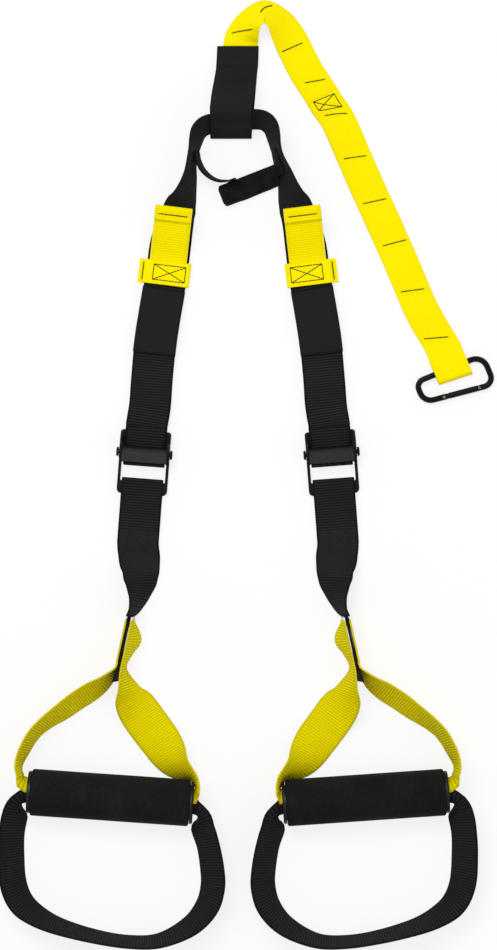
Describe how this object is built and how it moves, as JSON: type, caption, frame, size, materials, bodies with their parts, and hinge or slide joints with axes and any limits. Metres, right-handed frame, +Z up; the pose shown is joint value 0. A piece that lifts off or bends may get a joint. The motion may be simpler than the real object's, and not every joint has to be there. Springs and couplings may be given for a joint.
{
  "type": "suspension trainer",
  "caption": "Suspension trainer with webbing arms, toothed cam buckles, sewn adjuster tabs, foam grips with foot cradles, and an anchor strap that ends in a carabiner.",
  "frame": {"origin": "bottom centre of the bounding box of the trainer, laid flat", "axes": "+Y towards the top of the anchor strap, +X to the side the carabiner lies on, +Z up from the floor the trainer lies on"},
  "size_m": [0.4449, 0.8508, 0.0421],
  "materials": {
    "webbing_black": "ribbed woven nylon webbing, matte",
    "webbing_yellow": "ribbed woven polyester webbing, matte with a slight sheen",
    "hook_and_loop": "brushed hook and loop band",
    "cover_ply": "smooth tightly woven cover ply",
    "buckle_steel": "black coated stamped steel, satin",
    "carabiner_black": "black anodised, glossy",
    "spring_steel": "bright drawn wire and pins",
    "grip_foam": "closed cell foam, matte",
    "grip_plastic": "moulded, satin"
  },
  "bodies": {
    "trainer": {"anchor_strap": "webbing_yellow", "anchor_end_loop": "webbing_black", "main_strap_crown": "webbing_black", "closure_band_loop": "hook_and_loop", "closure_band_root": "hook_and_loop", "main_run_left": "webbing_black", "main_run_right": "webbing_black"},
    "closure_flap": {"closure_band_flap": "hook_and_loop"},
    "carabiner": {"carabiner_body": "carabiner_black", "gate_hinge_pin": "spring_steel"},
    "gate": {"carabiner_gate": "carabiner_black", "gate_nose_pin": "spring_steel", "gate_plunger": "spring_steel", "gate_spring": "spring_steel"},
    "buckle_left": {"buckle_frame_left": "buckle_steel", "cam_pin_left": "buckle_steel", "strap_turn_left": "webbing_black", "tail_left": "webbing_black", "lower_wrap_left": "webbing_black"},
    "cam_left": {"buckle_cam_left": "buckle_steel", "cam_spring_left": "spring_steel"},
    "adjuster_left": {"adjuster_tab_left": "webbing_yellow", "adjuster_keeper_left": "webbing_yellow", "tail_cover_left": "cover_ply"},
    "handle_left": {"lower_strap_left": "webbing_black", "handle_strap_left": "webbing_yellow"},
    "grip_left": {"foam_grip_left": "grip_foam", "grip_tube_left": "grip_plastic", "end_cap_outer_left": "grip_plastic", "end_cap_inner_left": "grip_plastic"},
    "foot_left": {"foot_strap_left": "webbing_black"},
    "buckle_right": {"buckle_frame_right": "buckle_steel", "cam_pin_right": "buckle_steel", "strap_turn_right": "webbing_black", "tail_right": "webbing_black", "lower_wrap_right": "webbing_black"},
    "cam_right": {"buckle_cam_right": "buckle_steel", "cam_spring_right": "spring_steel"},
    "adjuster_right": {"adjuster_tab_right": "webbing_yellow", "adjuster_keeper_right": "webbing_yellow", "tail_cover_right": "cover_ply"},
    "handle_right": {"lower_strap_right": "webbing_black", "handle_strap_right": "webbing_yellow"},
    "grip_right": {"foam_grip_right": "grip_foam", "grip_tube_right": "grip_plastic", "end_cap_outer_right": "grip_plastic", "end_cap_inner_right": "grip_plastic"},
    "foot_right": {"foot_strap_right": "webbing_black"}
  },
  "joints": [
    {"name": "carabiner_swing", "type": "hinge", "parent": "trainer", "child": "carabiner", "pos_m": [0.1839, 0.09377, 0.00479], "axis": [0.9259, 0.3778, 0], "range_deg": [-120, 120]},
    {"name": "gate_open", "type": "hinge", "parent": "carabiner", "child": "gate", "pos_m": [0.17749, 0.06765, 0.00479], "axis": [0, 0, 1], "range_deg": [0, 20], "stiffness_Nm_per_rad": 0.02, "springref_deg": -11.46},
    {"name": "band_lift", "type": "hinge", "parent": "trainer", "child": "closure_flap", "pos_m": [0.00386, 0.26175, 0.00389], "axis": [-0.3664, 0.9305, 0], "range_deg": [0, 100], "deforming": ["closure_band_root"]},
    {"name": "strap_adjust_left", "type": "slide", "parent": "trainer", "child": "buckle_left", "axis": [-0.1219, -0.9925, 0], "range_m": [0, 0.068], "deforming": ["main_run_left"]},
    {"name": "tail_slide_left", "type": "slide", "parent": "buckle_left", "child": "adjuster_left", "axis": [-0.1219, -0.9925, 0], "range_m": [0, 0.068], "deforming": ["tail_left"]},
    {"name": "cam_release_left", "type": "hinge", "parent": "buckle_left", "child": "cam_left", "pos_m": [-0.0917, 0.017, 0.01314], "axis": [0.9971, -0.0767, 0], "range_deg": [0, 22], "stiffness_Nm_per_rad": 0.3, "springref_deg": -11.46},
    {"name": "handle_swing_left", "type": "hinge", "parent": "buckle_left", "child": "handle_left", "pos_m": [-0.09463, -0.02109, 0.00354], "axis": [-1, 0, 0], "range_deg": [-60, 120], "deforming": ["lower_wrap_left"]},
    {"name": "grip_spin_left", "type": "hinge", "parent": "handle_left", "child": "grip_left", "pos_m": [-0.12192, -0.29081, 0.02114], "axis": [0.9976, -0.0689, 0], "continuous": true},
    {"name": "foot_swing_left", "type": "hinge", "parent": "handle_left", "child": "foot_left", "pos_m": [-0.12192, -0.29081, 0.02114], "axis": [-0.9976, 0.0689, 0], "range_deg": [-75, 75]},
    {"name": "strap_adjust_right", "type": "slide", "parent": "trainer", "child": "buckle_right", "axis": [0.1219, -0.9925, 0], "range_m": [0, 0.068], "deforming": ["main_run_right"]},
    {"name": "tail_slide_right", "type": "slide", "parent": "buckle_right", "child": "adjuster_right", "axis": [0.1219, -0.9925, 0], "range_m": [0, 0.068], "deforming": ["tail_right"]},
    {"name": "cam_release_right", "type": "hinge", "parent": "buckle_right", "child": "cam_right", "pos_m": [0.0761, 0.017, 0.01314], "axis": [0.9971, 0.0767, 0], "range_deg": [0, 22], "stiffness_Nm_per_rad": 0.3, "springref_deg": -11.46},
    {"name": "handle_swing_right", "type": "hinge", "parent": "buckle_right", "child": "handle_right", "pos_m": [0.07903, -0.02109, 0.00354], "axis": [-1, 0, 0], "range_deg": [-60, 120], "deforming": ["lower_wrap_right"]},
    {"name": "grip_spin_right", "type": "hinge", "parent": "handle_right", "child": "grip_right", "pos_m": [0.10632, -0.29081, 0.02114], "axis": [0.9976, 0.0689, 0], "continuous": true},
    {"name": "foot_swing_right", "type": "hinge", "parent": "handle_right", "child": "foot_right", "pos_m": [0.10632, -0.29081, 0.02114], "axis": [-0.9976, -0.0689, 0], "range_deg": [-75, 75]}
  ],
  "couplings": [
    {"joint": "tail_slide_left", "follows": "strap_adjust_left", "ratio": 1},
    {"joint": "tail_slide_right", "follows": "strap_adjust_right", "ratio": 1}
  ]
}
